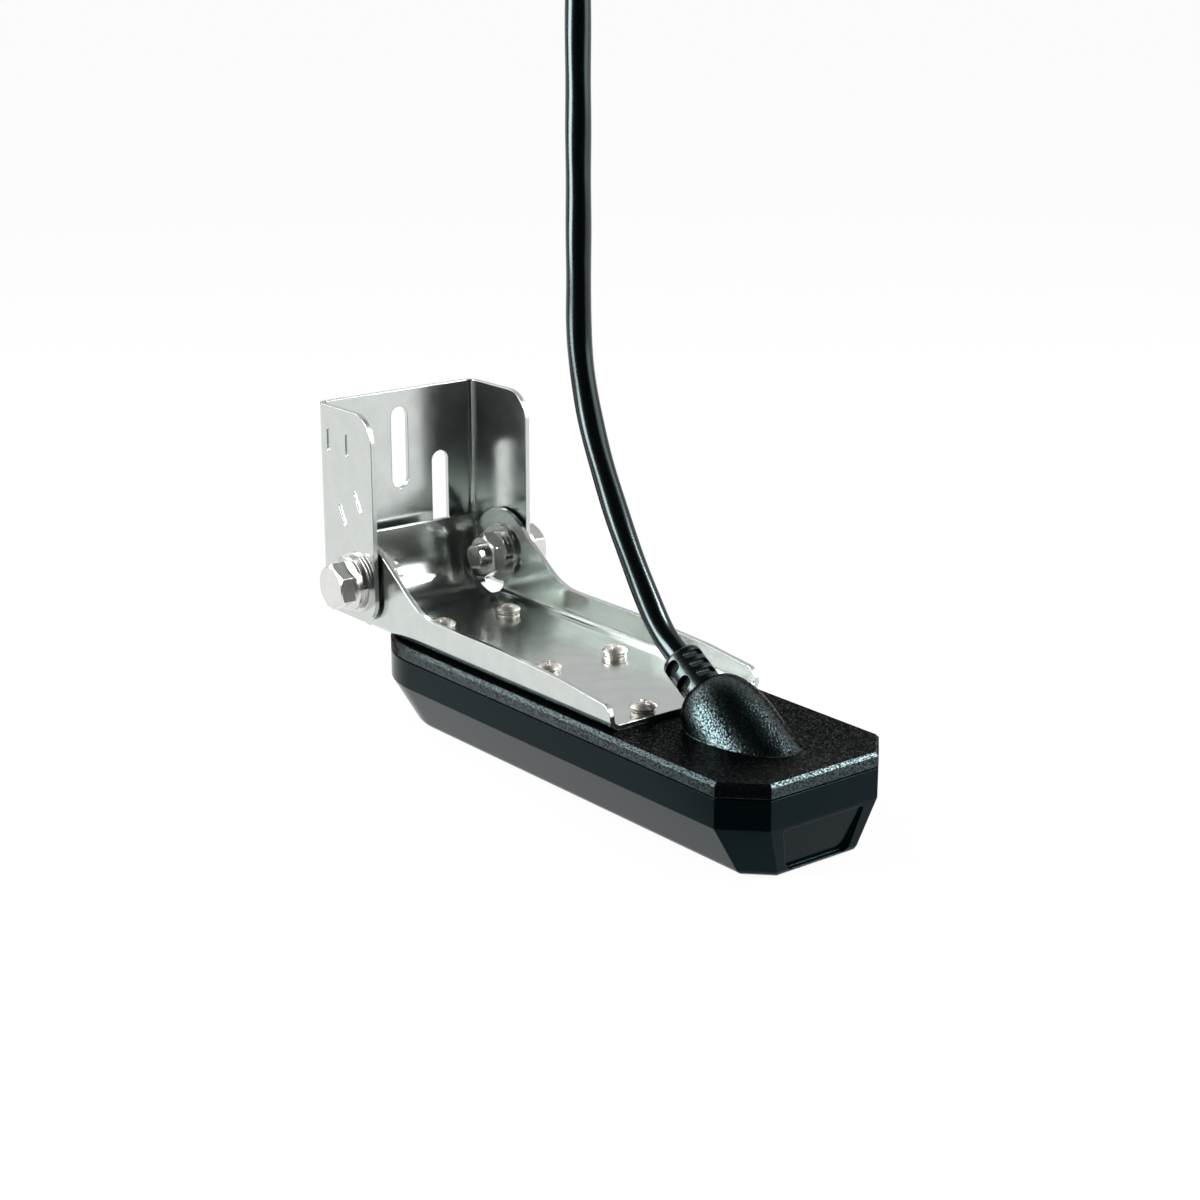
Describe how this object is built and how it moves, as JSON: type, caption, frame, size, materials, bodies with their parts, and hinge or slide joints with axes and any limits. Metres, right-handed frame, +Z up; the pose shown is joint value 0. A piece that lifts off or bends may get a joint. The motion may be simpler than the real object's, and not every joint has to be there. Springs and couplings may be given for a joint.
{
  "type": "sonar transducer",
  "caption": "Long flat sonar transducer with a sloping cable hood, carried by a pivoting two-piece sheet-steel bracket that fixes to a boat's transom.",
  "frame": {"origin": "on the surface that the foot rests on, midway between the front face and the transom bracket's back plate, in the mid-plane", "axes": "+X towards the end with the cable hood, +Y to the left of that, +Z up"},
  "size_m": [0.2016, 0.0794, 0.2667],
  "materials": {
    "housing_plastic": "satin black moulding",
    "cover_plastic": "fine-grained matt black moulding",
    "gasket_rubber": "matt",
    "piezo_ceramic": "silvered ceramic",
    "backing_rubber": "matt",
    "board_laminate": "lacquered laminate",
    "coil_copper": "enamelled wire",
    "sensor_steel": "plain",
    "relief_rubber": "satin black moulding",
    "cable_jacket": "glossy extruded jacket",
    "connector_plastic": "satin black",
    "contact_brass": "plain",
    "bracket_steel": "satin rolled stainless sheet",
    "screw_steel": "bright stainless",
    "bolt_steel": "bright stainless",
    "spacer_plastic": "dark nylon"
  },
  "bodies": {
    "transducer": {"lower_housing": "housing_plastic", "top_cover": "cover_plastic", "cover_gasket": "gasket_rubber", "side_element_left": "piezo_ceramic", "side_element_right": "piezo_ceramic", "down_element": "piezo_ceramic", "sonar_disc": "piezo_ceramic", "side_backing_left": "backing_rubber", "side_backing_right": "backing_rubber", "down_backing": "backing_rubber", "disc_backing": "backing_rubber", "terminal_board": "board_laminate", "tuning_coils": "coil_copper", "temperature_sensor": "sensor_steel", "strain_relief": "relief_rubber", "cable": "cable_jacket", "connector_boot": "relief_rubber", "connector_ring": "connector_plastic", "connector_insert": "connector_plastic", "connector_contacts": "contact_brass", "transducer_bracket": "bracket_steel", "bracket_screws": "screw_steel", "screw_lock_washers": "screw_steel", "screw_flat_washers": "screw_steel", "threaded_inserts": "contact_brass"},
    "transom": {"transom_bracket": "bracket_steel", "pivot_bolts": "bolt_steel", "pivot_lock_washers": "bolt_steel", "pivot_flat_washers": "bolt_steel", "spacer_washers": "spacer_plastic", "nut_washers": "bolt_steel", "pivot_nuts": "bolt_steel"}
  },
  "joints": [
    {"name": "bracket_tilt", "type": "hinge", "parent": "transducer", "child": "transom", "pos_m": [-0.0802, 0, 0.0433], "axis": [0, 1, 0], "range_deg": [-30, 90]}
  ]
}
